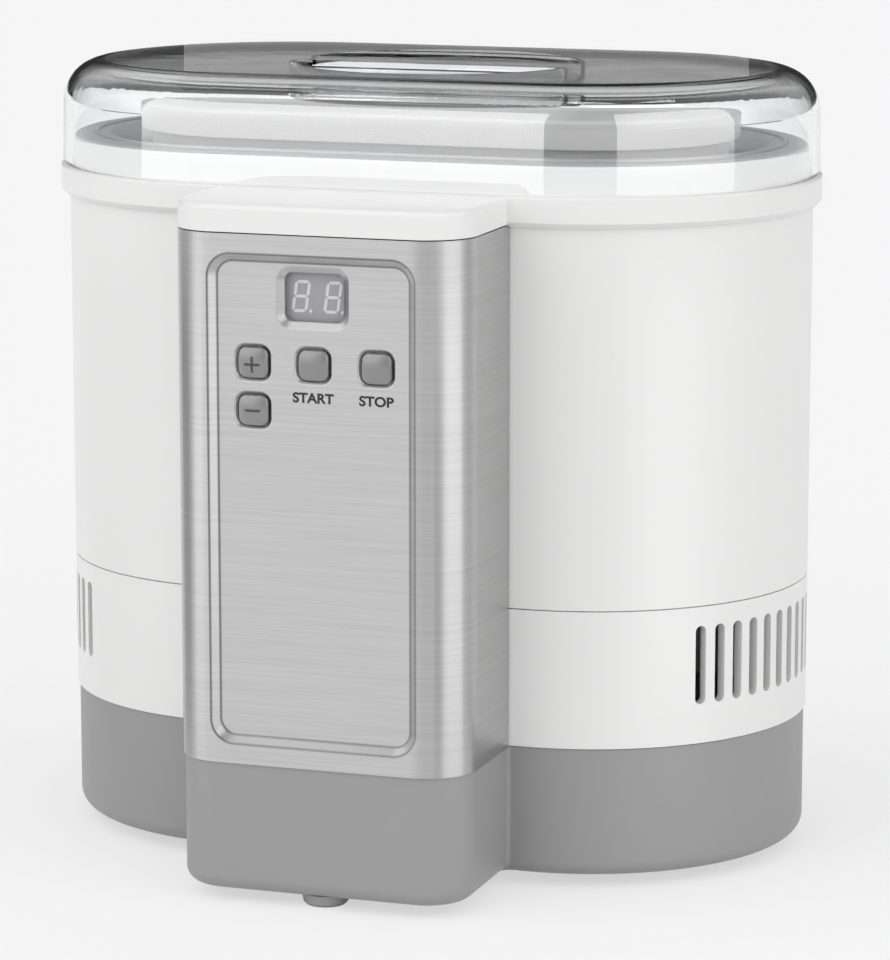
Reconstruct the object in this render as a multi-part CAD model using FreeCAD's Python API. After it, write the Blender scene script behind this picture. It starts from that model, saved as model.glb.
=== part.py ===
import FreeCAD, Part
import math
import os

# Countertop yogurt maker: a pot in a heated and cooled well, inside a stadium-shaped body with
# a steel control column in front. Millimetres. The floor is z = 0, the front faces -Y, and +X is
# the viewer's right. The origin lies on the floor under the middle of the whole footprint.

V = FreeCAD.Vector
RIGHT = V(1, 0, 0)
BACK = V(0, 1, 0)
UP = V(0, 0, 1)

# Body wall: two half circles joined by straight runs
BODY_LENGTH = 260.0
BODY_DEPTH = 150.0
BODY_Y = 23.5
END_R = BODY_DEPTH / 2
STRAIGHT = BODY_LENGTH / 2 - END_R
BODY_FRONT = BODY_Y - END_R

# Control column in front of the body
COLUMN_HALF = 50.5
COLUMN_CORNER = 17.0
FRONT = -101.5

# Heights above the floor
FOOT_TOP = 4.0
BASE_TOP = 47.5
BAND_TOP = 94.0
SHELL_TOP = 220.5
LEDGE = 230.5
DECK = 241.0
LID_TOP = 266.0

# Wall thicknesses and the hairline gaps between mouldings
BASE_WALL = 2.8
BASE_FLOOR = 3.0
BASE_INSET = 0.7
BASE_EDGE = 5.0
BAND_WALL = 3.6
SHELL_WALL = 2.6
SEAM = 0.4
SEAM_DEPTH = 1.5
LIP_HEIGHT = 3.0
LIP_WALL = 1.7
LIP_PLAY = 0.2

# Row of air slots round each end of the band
SLOT_COUNT = 16
SLOT_PITCH = 5.8
SLOT_WIDTH = 4.0
SLOT_LOW = 61.1
SLOT_HIGH = 87.6

# Screw posts that join base and band, on the end arcs
POST_ANGLE = 75.0
POST_REACH = 65.5
POST_R = 6.2
POST_SEAT = 36.0
SCREW_R = 1.9
SCREW_HEAD_R = 3.0
SCREW_HEAD = 2.6

# Rubber feet: one under the column, four under the body
FOOT_R = 8.0
FOOT_SPOTS = ((0.0, FRONT + 12.0), (-90.0, BODY_Y - 35.0), (90.0, BODY_Y - 35.0),
              (-90.0, BODY_Y + 35.0), (90.0, BODY_Y + 35.0))

# White rim with ledge, collar and column cap
FLANGE = 3.0
CAP_LOW = 221.4
CAP_EDGE = 2.0
CAP_WALL = 2.5
COLLAR_R = END_R - 1.5

# Steel wrap of the column and its stamped panel
SHEET = 1.0
RETURN_WIDTH = 6.5
COLUMN_DEPTH = BODY_FRONT - FRONT - 0.5
PANEL_LOW = 54.0
PANEL_HIGH = 214.7
PANEL_HALF = 35.2
PANEL_DEPTH = 2.7
PANEL_SLOPE = 2.6
PANEL_CORNER = 8.0
PANEL_BEND = 1.0
LIP_BEND = 0.5

# Push buttons: centre across and up, on the panel
BUTTON_SPOTS = {"plus_button": (-20.6, 179.4), "minus_button": (-20.6, 163.9),
                "start_button": (0.0, 179.4), "stop_button": (21.4, 179.4)}
BUTTON_HALF = (5.1, 5.0)
BUTTON_CORNER = 2.6
BUTTON_DOME_R = 18.0
BUTTON_TOP = 1.7
BUTTON_EDGE = 1.0
BUTTON_FLANGE = 4.9
BUTTON_PLAY = 0.35
BUTTON_LIP = 0.9
STEM_R = 2.4
STEM_END = 10.0

# Two-digit display
DISPLAY_SPOT = (0.0, 201.0)
LENS_HALF = (9.9, 7.7)
LENS_CORNER = 2.6
LENS_LIP = 1.6
LENS_LIP_WIDTH = 2.2

# Boards and chassis in the column, as depths behind the front face
CHASSIS_PLATE = 7.0
CHASSIS_WALL = 2.0
CHASSIS_INSET = 1.3
CONTROL_BOARD = 15.0
POWER_BOARD = 39.0
BOARD = 1.6
CONTROL_HALF = 44.0
CONTROL_LOW = 149.0
CONTROL_HIGH = 212.0
POWER_HALF = 46.3
POWER_LOW = 58.0
POWER_HIGH = 148.0
CAPACITORS = ((24.0, 84.0, 8.0, 20.0), (28.0, 112.0, 5.0, 15.0), (12.0, 112.0, 5.0, 15.0))
BOARD_POSTS = ((-40.0, 153.0), (40.0, 153.0), (-40.0, 208.0), (40.0, 208.0))

# Well and container
LINER_SHEET = 0.8
WELL_TOP_R = 49.0
WELL_LOW_R = 48.0
WELL_FLOOR = 140.0
WELL_MOUTH = 228.0
POT_FLOOR = 140.3
POT_TOP = 250.0
POT_TOP_R = 46.6
POT_LOW_R = 45.6
POT_WALL = 2.2
POT_RIM_R = 48.2
POT_LID_R = 50.2
POT_LID_TOP = 252.6

# Clear outer lid
LID_R = END_R + 2.3
LID_DRAFT = 0.6
LID_EDGE = 14.0
LID_WALL = 2.8
GRIP_R = 48.0
GRIP_BAR = 7.5
GRIP_DEPTH = 8.0
GRIP_WALL = 2.5

# Cooling stack under the well
FOAM_LOW = 126.0
COLD_HALF = 30.0
COLD_LOW = 124.0
MODULE_HALF = 20.0
MODULE_HIGH = 3.8
SINK_HALF = (50.0, 40.0)
SINK_PLATE = 8.0
SINK_FIN_LOW = 58.0
FIN_COUNT = 15
FIN_PITCH = 50.0 / 9
FIN_WIDTH = 1.6
CLAMP_SPOTS = ((-26.0, 3.5 * FIN_PITCH), (26.0, 3.5 * FIN_PITCH),
               (-26.0, -3.5 * FIN_PITCH), (26.0, -3.5 * FIN_PITCH))

# Fan at the left end of the heat sink, turning about X
FAN_Z = 85.0
FAN_HALF = 30.0
FAN_DEEP = 25.0
FAN_BORE_R = 28.2
FAN_HOLE = 25.0
FAN_HUB_R = 15.0
FAN_TIP_R = 27.2
FAN_BLADES = 7
SHAFT_R = 1.5
SHAFT_PLAY = 0.05
FAN_LEFT = -SINK_HALF[0] - FAN_DEEP

# Mains lead inlet through the back of the base
INLET_Z = 26.0
INLET_R = 5.2


def plan(z):
    """Place outline points u, v as x, y at height z."""
    return lambda u, v: V(u, v, z)


def panel(depth):
    """Place outline points u, v as x, z at a depth behind the column's front face."""
    return lambda u, v: V(u, FRONT + depth, v)


def section(r, z):
    """Place a point r out from the body's centre line, on the front side, at height z."""
    return V(-STRAIGHT, BODY_Y - r, z)


def rounded_path(corners, place, closed=True):
    """Wire through (u, v, radius) corners, with a tangent arc at each corner that has a radius."""
    points = [V(u, v, 0) for u, v, radius in corners]
    count = len(points)
    enter = list(points)
    leave = list(points)
    edges = []
    for i, (u, v, radius) in enumerate(corners):
        if radius == 0:
            continue
        back = (points[i - 1] - points[i]).normalize()
        ahead = (points[(i + 1) % count] - points[i]).normalize()
        half = back.getAngle(ahead) / 2
        enter[i] = points[i] + back * (radius / math.tan(half))
        leave[i] = points[i] + ahead * (radius / math.tan(half))
        middle = points[i] + (back + ahead).normalize() * (radius / math.sin(half) - radius)
        arc = Part.Arc(*(place(p.x, p.y) for p in (enter[i], middle, leave[i])))
        edges.append(arc.toShape())
    for i in range(count if closed else count - 1):
        start = leave[i]
        stop = enter[(i + 1) % count]
        if start.distanceToPoint(stop) > 1e-6:
            edges.append(Part.makeLine(place(start.x, start.y), place(stop.x, stop.y)))
    return Part.Wire(Part.__sortEdges__(edges))


def rectangle(half_u, half_v, radius, mid_u=0.0, mid_v=0.0):
    """Corners of a rounded rectangle."""
    low_u, high_u = mid_u - half_u, mid_u + half_u
    low_v, high_v = mid_v - half_v, mid_v + half_v
    return [(low_u, low_v, radius), (high_u, low_v, radius),
            (high_u, high_v, radius), (low_u, high_v, radius)]


def prism(corners, place, along):
    """Solid from a rounded outline pushed along a vector."""
    return Part.Face(rounded_path(corners, place)).extrude(along)


def block(low, high):
    """Box between two opposite corners."""
    return Part.makeBox(high[0] - low[0], high[1] - low[1], high[2] - low[2], V(*low))


def stud(radius, start, along, length):
    """Round bar from a point along a direction."""
    return Part.makeCylinder(radius, length, V(*start), along)


def joined(first, *others):
    """One clean solid from pieces that share faces or volume."""
    shape = first.multiFuse(others).removeSplitter()
    return single(shape)


def single(shape):
    """The one solid of a shape, or a plain error where there are more."""
    if len(shape.Solids) != 1:
        raise ValueError(f"expected one solid, found {len(shape.Solids)}")
    return shape.Solids[0]


def stadium_corners(radius):
    """Corners of the body's outline at a radius from its centre line."""
    return rectangle(STRAIGHT + radius, radius, radius, 0.0, BODY_Y)


def stadium(radius, low, high):
    """Upright solid with the body's outline."""
    return prism(stadium_corners(radius), plan(low), UP * (high - low))


def ring(outer, inner, low, high):
    """Upright wall with the body's outline."""
    return stadium(outer, low, high).cut(stadium(inner, low, high))


def carried_round(profile):
    """Solid of a profile face in (r, z), carried once round the body's stadium."""
    run = V(2 * STRAIGHT, 0, 0)
    end = profile.translated(run).revolve(V(STRAIGHT, BODY_Y, 0), UP, 180)
    half = profile.extrude(run).fuse(end)
    other = half.rotated(V(0, BODY_Y, 0), UP, 180)
    return joined(half, other)


def rounded_round(corners):
    """Solid of rounded (r, z) corners carried round the body's stadium."""
    return carried_round(Part.Face(rounded_path(corners, section)))


def column_corners(inset, back_y):
    """Corners of the control column seen from above."""
    half = COLUMN_HALF - inset
    radius = COLUMN_CORNER - inset
    return [(-half, back_y, 0), (-half, FRONT + inset, radius),
            (half, FRONT + inset, radius), (half, back_y, 0)]


def footprint(inset, low, high):
    """Upright solid with the joint outline of body and column."""
    height = UP * (high - low)
    column = prism(column_corners(inset, BODY_Y), plan(low), height)
    return joined(prism(stadium_corners(END_R - inset), plan(low), height), column)


def post_spots():
    """Centres of the four screw posts on the end arcs."""
    across = STRAIGHT + POST_REACH * math.cos(math.radians(POST_ANGLE))
    deep = POST_REACH * math.sin(math.radians(POST_ANGLE))
    return [(sx * across, BODY_Y + sy * deep) for sx in (-1, 1) for sy in (-1, 1)]


def screw(spot, along, head_r, head, radius, length):
    """Pan-head screw whose head rests at a spot and whose shank runs along a direction."""
    bevel = head / 2
    top = Part.makeCone(head_r * 0.75, head_r, bevel, spot - along * head, along)
    rim = Part.makeCylinder(head_r, head - bevel, spot - along * (head - bevel), along)
    return joined(top, rim, Part.makeCylinder(radius, length, spot, along))


def base_tray():
    """Grey base moulding: open tray with a rounded lower edge, screw posts and floor ribs."""
    outer = footprint(BASE_INSET, FOOT_TOP, BASE_TOP)
    corner_x = COLUMN_HALF - BASE_INSET
    inner_corners = [e for e in outer.Edges
                     if e.BoundBox.ZLength > 1 and abs(abs(e.CenterOfMass.x) - corner_x) < 0.01
                     and abs(e.CenterOfMass.y - BODY_FRONT - BASE_INSET) < 0.01]
    outer = outer.makeFillet(SEAM_DEPTH, inner_corners)
    lower = [e for e in outer.Edges if e.BoundBox.ZMax < FOOT_TOP + 0.01]
    outer = outer.makeFillet(BASE_EDGE, lower)
    floor = FOOT_TOP + BASE_FLOOR
    tray = outer.cut(footprint(BASE_INSET + BASE_WALL, floor, BASE_TOP))
    ribs = [block((x - 1.2, BODY_FRONT, floor - 1), (x + 1.2, BODY_Y + END_R, floor + 7)).common(outer)
            for x in (-70, -25, 25, 70)]
    posts = [stud(POST_R, (x, y, floor - 1), UP, BASE_TOP - LIP_HEIGHT - floor + 0.7)
             for x, y in post_spots()]
    tray = joined(tray, *posts, *ribs)
    holes = [stud(SCREW_HEAD_R + 0.3, (x, y, 0), UP, POST_SEAT) for x, y in post_spots()]
    holes += [stud(SCREW_R + 0.3, (x, y, 0), UP, BASE_TOP) for x, y in post_spots()]
    holes += [stud(FOOT_R * 0.31, (x, y, 0), UP, floor + 1) for x, y in FOOT_SPOTS]
    holes.append(stud(INLET_R, (0, BODY_Y + END_R - 10, INLET_Z), BACK, 20))
    return single(tray.cut(holes))


def feet():
    """Turned rubber feet, each with a stem through the base's floor."""
    neck = FOOT_R * 0.3
    grip = FOOT_TOP + BASE_FLOOR
    outline = [(0, 0, 0), (FOOT_R - 1.5, 0, 0), (FOOT_R - 0.6, 0.9, 0), (FOOT_R, FOOT_TOP, 0),
               (neck, FOOT_TOP, 0), (neck, grip, 0), (neck + 1, grip, 0), (neck + 0.4, grip + 2, 0),
               (0, grip + 2, 0)]
    turned = Part.Face(rounded_path(outline, lambda r, z: V(r, 0, z))).revolve(V(0, 0, 0), UP, 360)
    return Part.makeCompound([turned.translated(V(x, y, 0)) for x, y in FOOT_SPOTS])


def base_screws():
    """Long screws from the base's posts into the band."""
    return Part.makeCompound([screw(V(x, y, POST_SEAT), UP, SCREW_HEAD_R, SCREW_HEAD, SCREW_R, 24)
                              for x, y in post_spots()])


def air_slots():
    """Upright round-ended slots, set out on both end arcs and cut towards their centres."""
    height = (SLOT_HIGH - SLOT_LOW) / 2
    middle = (SLOT_HIGH + SLOT_LOW) / 2
    corners = rectangle(SLOT_WIDTH / 2, height, SLOT_WIDTH / 2, BODY_Y, middle)
    slots = []
    for side in (-1, 1):
        start = STRAIGHT + END_R - BAND_WALL - 3
        one = prism(corners, lambda u, v: V(side * start, u, v), RIGHT * (side * (BAND_WALL + 8)))
        for i in range(SLOT_COUNT):
            angle = (i - (SLOT_COUNT - 1) / 2) * SLOT_PITCH
            slots.append(one.rotated(V(side * STRAIGHT, BODY_Y, 0), UP, angle))
    return slots


def vent_band():
    """Lower white wall with air slots, screw posts and a lip that drops into the base."""
    wall = ring(END_R, END_R - BAND_WALL, BASE_TOP, BAND_TOP + SEAM)
    lip_r = END_R - BASE_INSET - BASE_WALL - LIP_PLAY
    lip_low = BASE_TOP - LIP_HEIGHT
    lip = ring(lip_r, lip_r - LIP_WALL, lip_low, BASE_TOP + LIP_HEIGHT)
    lip_root = ring(END_R - BAND_WALL + 0.5, lip_r - LIP_WALL, BASE_TOP, BASE_TOP + LIP_HEIGHT)
    posts = [stud(POST_R, (x, y, lip_low), UP, 21) for x, y in post_spots()]
    band = joined(wall, lip, lip_root, *posts)
    cuts = air_slots()
    cuts.append(ring(END_R + 5, END_R - SEAM_DEPTH, BASE_TOP, BASE_TOP + SEAM))
    cuts.append(ring(END_R + 5, END_R - SEAM_DEPTH, BAND_TOP, BAND_TOP + SEAM))
    cuts.append(ring(END_R + 5, lip_r, lip_low - 1, BASE_TOP))
    cuts += [stud(SCREW_R + 0.1, (x, y, lip_low - 1), UP, 18) for x, y in post_spots()]
    cuts.append(block((-30, BODY_FRONT - 5, 56), (30, BODY_FRONT + 10, 88)))
    return single(band.cut(cuts))


def upper_shell():
    """Tall white wall with a lip that drops into the band and a wire opening behind the column."""
    low = BAND_TOP + SEAM
    wall = ring(END_R, END_R - SHELL_WALL, low, SHELL_TOP)
    lip_r = END_R - BAND_WALL - LIP_PLAY
    lip = ring(lip_r, lip_r - LIP_WALL, BAND_TOP - LIP_HEIGHT, low + LIP_HEIGHT)
    lip_root = ring(END_R - 1, lip_r - LIP_WALL, low, low + LIP_HEIGHT)
    opening = block((-20, BODY_FRONT - 5, 102), (20, BODY_FRONT + 10, 122))
    return single(joined(wall, lip, lip_root).cut(opening))


def top_rim():
    """White rim: ledge and collar carried round the body, with a hollow cap over the column."""
    spigot = END_R - SHELL_WALL - 0.3
    flange = END_R + FLANGE
    ledge_ring = rounded_round([
        (flange - 1.6, SHELL_TOP, 0), (flange, SHELL_TOP + 1.6, 0), (flange, LEDGE, 0.8),
        (COLLAR_R + 0.3, LEDGE, 0), (COLLAR_R, DECK - LINER_SHEET, 0.8), (62, DECK - LINER_SHEET, 0),
        (62, DECK - 3.5, 0), (spigot - 1.4, DECK - 3.5, 0), (spigot - 1.4, SHELL_TOP - 6.5, 0),
        (spigot, SHELL_TOP - 6.5, 0), (spigot, SHELL_TOP, 0)])
    cap = prism(column_corners(0, BODY_FRONT), plan(CAP_LOW), UP * (LEDGE - CAP_LOW))
    cap_edges = [e for e in cap.Edges
                 if e.BoundBox.ZMin > LEDGE - 0.01 and e.BoundBox.YMin < BODY_FRONT - 1]
    cap = cap.makeFillet(CAP_EDGE, cap_edges)
    hollow = prism(column_corners(CAP_WALL, BODY_FRONT - FLANGE - 2), plan(CAP_LOW - 1),
                   UP * (LEDGE - CAP_WALL - CAP_LOW + 1))
    return joined(ledge_ring, cap.cut(hollow))


def tapered(near, far, middle, depth, reach):
    """Solid between two rounded rectangles (half width, half height, corner) on the panel."""
    wires = [rounded_path(rectangle(*near, *middle), panel(depth)),
             rounded_path(rectangle(*far, *middle), panel(depth + reach))]
    return Part.makeLoft(wires, True, True)


def grown(size, by):
    """A rounded rectangle's half width, half height and corner, made larger all round."""
    return tuple(value + by for value in size)


def stamped(skin, mouth, slope, middle, depth, reach):
    """Press a tapered pan into a sheet and keep the sheet's thickness behind it."""
    floor = grown(mouth, -slope)
    behind = tapered(grown(mouth, SHEET * 0.8), grown(floor, SHEET * 0.4), middle, depth + SHEET / 2,
                     reach + SHEET / 2)
    return skin.fuse(behind).cut(tapered(mouth, floor, middle, depth, reach))


def bent(skin, around, middle, depth, radius):
    """Round the sheet's edges that lie at one depth inside a rounded rectangle on the panel."""
    half_width, half_height, _ = around
    low = V(middle[0] - half_width, FRONT + depth - 0.01, middle[1] - half_height)
    high = V(middle[0] + half_width, FRONT + depth + 0.01, middle[1] + half_height)
    reach = FreeCAD.BoundBox(low, high)
    return skin.makeFillet(radius, [e for e in skin.Edges if reach.isInside(e.BoundBox)])


def column_cladding():
    """Brushed steel wrap: bent sheet, stamped panel and inward lips round its openings."""
    back = FRONT + COLUMN_DEPTH
    low = BASE_TOP
    height = UP * (CAP_LOW - SEAM - low)
    skin = prism(column_corners(0, back), plan(low), height)
    skin = skin.cut(prism(column_corners(SHEET, back - SHEET), plan(low), height))
    gap = COLUMN_HALF - RETURN_WIDTH
    skin = skin.cut(block((-gap, back - 3, low - 1), (gap, back + 1, CAP_LOW + 1)))
    middle = (0.0, (PANEL_LOW + PANEL_HIGH) / 2)
    mouth = (PANEL_HALF, (PANEL_HIGH - PANEL_LOW) / 2, PANEL_CORNER)
    skin = stamped(skin, mouth, PANEL_SLOPE, middle, 0.0, PANEL_DEPTH)
    skin = bent(skin, grown(mouth, 0.1), middle, 0.0, PANEL_BEND)
    skin = bent(skin, mouth, middle, PANEL_DEPTH, PANEL_BEND)
    hole = (*grown(BUTTON_HALF, BUTTON_PLAY), BUTTON_CORNER + BUTTON_PLAY)
    openings = [(spot, hole, BUTTON_LIP, BUTTON_LIP) for spot in BUTTON_SPOTS.values()]
    openings.append((DISPLAY_SPOT, (*grown(LENS_HALF, 0.2), LENS_CORNER), LENS_LIP_WIDTH, LENS_LIP))
    for spot, hole, width, reach in openings:
        skin = stamped(skin, grown(hole, width), width, spot, PANEL_DEPTH, reach)
        skin = bent(skin, grown(hole, width + 0.1), spot, PANEL_DEPTH, LIP_BEND)
        skin = skin.cut(prism(rectangle(*hole, *spot), panel(PANEL_DEPTH), BACK * 4))
    return single(skin.cut(rim_room()))


def rim_room():
    """Space that the rim's flange takes behind the column's top edge."""
    return block((-COLUMN_HALF - 1, BODY_FRONT - FLANGE - 0.3, SHELL_TOP - 0.3),
                 (COLUMN_HALF + 1, BODY_FRONT + 1, CAP_LOW + 1))


def column_frame():
    """Plastic chassis in the column: flat front plate, two legs, board posts and board rails."""
    back = FRONT + COLUMN_DEPTH - SHEET - 0.3
    half = COLUMN_HALF - CHASSIS_INSET
    plate = FRONT + CHASSIS_PLATE
    low = BASE_TOP
    height = UP * (CAP_LOW - SEAM - low)

    def legs(inset, y):
        radius = 12.0 - inset
        return [(-half + inset, y, 0), (-half + inset, plate + inset, radius),
                (half - inset, plate + inset, radius), (half - inset, y, 0)]

    frame = prism(legs(0, back), plan(low), height).cut(prism(legs(CHASSIS_WALL, back), plan(low), height))
    reach = CONTROL_BOARD - CHASSIS_PLATE - CHASSIS_WALL
    posts = [stud(3.2, (x, plate + CHASSIS_WALL - 0.5, z), BACK, reach + 0.5) for x, z in BOARD_POSTS]
    rails = []
    for side in (-1, 1):
        rail = block((side * half - 4, FRONT + POWER_BOARD - 1.8, POWER_LOW),
                     (side * half + 4, FRONT + POWER_BOARD + BOARD + 1.8, POWER_HIGH))
        rails.append(rail.common(prism(legs(0, back), plan(low), height)))
    frame = joined(frame, *posts, *rails)
    cuts = [stud(1.3, (x, plate + CHASSIS_WALL, z), BACK, 10) for x, z in BOARD_POSTS]
    cuts += [stud(STEM_R + 0.3, (x, plate - 1, z), BACK, 6) for x, z in BUTTON_SPOTS.values()]
    cuts.append(prism(rectangle(11.4, 9.4, 0, *DISPLAY_SPOT), panel(CHASSIS_PLATE - 1), BACK * 5))
    cuts.append(block((-POWER_HALF - 0.2, FRONT + POWER_BOARD - 0.1, POWER_LOW - 1),
                      (POWER_HALF + 0.2, FRONT + POWER_BOARD + BOARD + 0.1, POWER_HIGH + 1)))
    cuts.append(rim_room())
    return single(frame.cut(cuts))


def push_button(spot):
    """Domed rounded-square cap with a rounded edge, a retaining flange and a stem."""
    cap = prism(rectangle(*BUTTON_HALF, BUTTON_CORNER, *spot), panel(1), BACK * (BUTTON_FLANGE - 1))
    dome = Part.makeSphere(BUTTON_DOME_R, V(spot[0], FRONT + BUTTON_TOP + BUTTON_DOME_R, spot[1]))
    cap = cap.common(dome)
    behind = FRONT + BUTTON_FLANGE - 0.5
    rim = [e for e in cap.Edges if e.BoundBox.YLength < 1 and e.BoundBox.YMax < behind]
    cap = cap.makeFillet(BUTTON_EDGE, rim)
    flange = prism(rectangle(6.2, 6.0, 1.5, *spot), panel(BUTTON_FLANGE), BACK)
    stem = stud(STEM_R, (spot[0], FRONT + BUTTON_FLANGE, spot[1]), BACK, STEM_END - BUTTON_FLANGE)
    return joined(cap, flange, stem)


def display_lens():
    """Clear window that stands in the panel's opening, with a flange behind the sheet."""
    pane = prism(rectangle(*LENS_HALF, LENS_CORNER, *DISPLAY_SPOT), panel(3.9), BACK * 2.0)
    flange = prism(rectangle(11.6, 9.4, 2.0, *DISPLAY_SPOT), panel(5.6), BACK)
    return joined(pane, flange)


def led_display():
    """Two-digit module on the control board."""
    return prism(rectangle(11.0, 9.0, 0.6, *DISPLAY_SPOT), panel(6.8), BACK * (CONTROL_BOARD - 6.8))


def upright_board(half, low, high, depth):
    """Circuit board standing across the column."""
    return prism(rectangle(half, (high - low) / 2, 2.0, 0.0, (high + low) / 2), panel(depth), BACK * BOARD)


def control_board():
    """Control board with its four screw holes."""
    board = upright_board(CONTROL_HALF, CONTROL_LOW, CONTROL_HIGH, CONTROL_BOARD)
    holes = [stud(1.6, (x, FRONT + CONTROL_BOARD - 1, z), BACK, 5) for x, z in BOARD_POSTS]
    return single(board.cut(holes))


def board_screws():
    """Small screws that hold the control board to the chassis posts."""
    depth = FRONT + CONTROL_BOARD + BOARD
    return Part.makeCompound([screw(V(x, depth, z), -BACK, 2.6, 1.8, 1.2, 6) for x, z in BOARD_POSTS])


def tact_switches():
    """Small switches on the control board, one behind each button."""
    made = []
    for x, z in BUTTON_SPOTS.values():
        body = prism(rectangle(3.0, 3.0, 0.4, x, z), panel(CONTROL_BOARD - 3.2), BACK * 3.2)
        made.append(joined(body, stud(1.7, (x, FRONT + CONTROL_BOARD - 4.0, z), BACK, 1.0)))
    return Part.makeCompound(made)


def power_transformer():
    """Square ferrite core round a wound bobbin, on the front of the power board."""
    core = prism(rectangle(19.0, 16.0, 1.0, -14.0, 84.0), panel(POWER_BOARD - 15), BACK * 10)
    coil = prism(rectangle(13.0, 11.5, 5.0, -14.0, 84.0), panel(POWER_BOARD - 20), BACK * 20)
    return joined(core, coil)


def power_capacitors():
    """Round capacitors with a crimp groove, on the front of the power board."""
    made = []
    for x, z, radius, length in CAPACITORS:
        outline = [(0, 0, 0), (radius, 0, 0), (radius, 1.5, 0), (radius - 0.7, 2.2, 0), (radius, 2.9, 0),
                   (radius, length, 0), (0, length, 0)]
        face = Part.Face(rounded_path(outline, lambda r, t: V(x + r, FRONT + POWER_BOARD - t, z)))
        made.append(face.revolve(V(x, FRONT, z), BACK, 360))
    return Part.makeCompound(made)


def ribbon_cable():
    """Flat cable from the back of the control board to the front of the power board."""
    start = CONTROL_BOARD + BOARD
    middle = (start + POWER_BOARD) / 2
    route = [(start, 158.0, 0), (middle, 158.0, 5.0), (middle, 138.0, 5.0), (POWER_BOARD, 138.0, 0)]
    path = rounded_path(route, lambda d, z: V(-24, FRONT + d, z), closed=False)
    return path.makeOffset2D(0.9, fill=True, openResult=True).extrude(RIGHT * 14)


def cord_grommet():
    """Rubber bush for the mains lead in the base's back wall."""
    outside = BODY_Y + END_R - BASE_INSET
    inside = outside - BASE_WALL
    neck = INLET_R - 0.1
    outline = [(3.6, inside - 2.5, 0), (7.0, inside - 2.5, 0), (7.0, inside, 0), (neck, inside, 0),
               (neck, outside, 0), (7.5, outside, 0), (7.0, outside + 2.0, 0), (6.0, outside + 2.8, 0),
               (4.2, outside + 2.8, 0), (3.6, outside + 2.2, 0)]
    face = Part.Face(rounded_path(outline, lambda r, y: V(r, y, INLET_Z)))
    return face.revolve(V(0, 0, INLET_Z), BACK, 360)


def well_liner():
    """Drawn metal tub: flat deck with a raised bead, sloping mouth, tapered wall and round floor edge."""
    route = [(COLLAR_R - 0.5, DECK, 0), (60.0, DECK, 6.0), (WELL_TOP_R + 2.5, DECK - 5.0, 5.0),
             (WELL_TOP_R, WELL_MOUTH, 6.0), (WELL_LOW_R, WELL_FLOOR, 8.0), (0, WELL_FLOOR, 0)]
    path = rounded_path(route, section, closed=False)
    bead = rounded_round([(66.6, DECK - 0.6, 0), (66.3, DECK + 0.9, 0.6),
                          (64.9, DECK + 0.9, 0.6), (64.6, DECK - 0.6, 0)])
    return joined(carried_round(path.makeOffset2D(LINER_SHEET, fill=True, openResult=True)), bead)


def well_radius(z):
    """Outside radius of the tub's tapered wall at a height."""
    share = (z - WELL_FLOOR) / (WELL_MOUTH - WELL_FLOOR)
    return WELL_LOW_R + share * (WELL_TOP_R - WELL_LOW_R) + LINER_SHEET


def heater_band():
    """Foil heater wrapped round the lower part of the tub."""
    low, high = 152.0, 192.0
    near = 0.05
    far = 0.95
    return rounded_round([(well_radius(low) + near, low, 0), (well_radius(low) + far, low, 0),
                          (well_radius(high) + far, high, 0), (well_radius(high) + near, high, 0)])


def insulation():
    """Foam block between tub and wall, open under the tub for the cold block and the sensor."""
    wide = END_R - SHELL_WALL - 0.4
    narrow = wide - 1.8
    foam = rounded_round([(0, FOAM_LOW, 0), (wide, FOAM_LOW, 2), (wide, SHELL_TOP - 7, 0),
                          (narrow, SHELL_TOP - 7, 0), (narrow, 232, 2), (53, 232, 2),
                          (53, WELL_FLOOR - LINER_SHEET, 6), (0, WELL_FLOOR - LINER_SHEET, 0)])
    half = COLD_HALF + 0.5
    cold = block((-half, BODY_Y - half, FOAM_LOW - 1), (half, BODY_Y + half, WELL_FLOOR))
    return single(foam.cut([cold, stud(4.6, (45, BODY_Y, FOAM_LOW - 1), UP, 20)]))


def temperature_sensor():
    """Stepped probe held against the underside of the tub."""
    top = WELL_FLOOR - LINER_SHEET
    return joined(stud(4.2, (45, BODY_Y, top - 5), UP, 5), stud(2.2, (45, BODY_Y, top - 14), UP, 10))


def cold_block():
    """Metal block that carries the cold from the module to the tub."""
    body = prism(rectangle(COLD_HALF, COLD_HALF, 2.0, 0.0, BODY_Y), plan(COLD_LOW),
                 UP * (WELL_FLOOR - LINER_SHEET - COLD_LOW))
    holes = [stud(1.3, (x, BODY_Y + y, COLD_LOW - 1), UP, 12) for x, y in CLAMP_SPOTS]
    return single(body.cut(holes))


def thermoelectric_module():
    """Two ceramic plates with the semiconductor field between them."""
    low = COLD_LOW - MODULE_HIGH
    outline = rectangle(MODULE_HALF, MODULE_HALF, 0.5, 0.0, BODY_Y)
    plates = [prism(outline, plan(z), UP) for z in (low, COLD_LOW - 1)]
    field = MODULE_HALF - 1.2
    core = prism(rectangle(field, field, 0, 0.0, BODY_Y), plan(low), UP * MODULE_HIGH)
    return joined(core, *plates)


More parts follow.
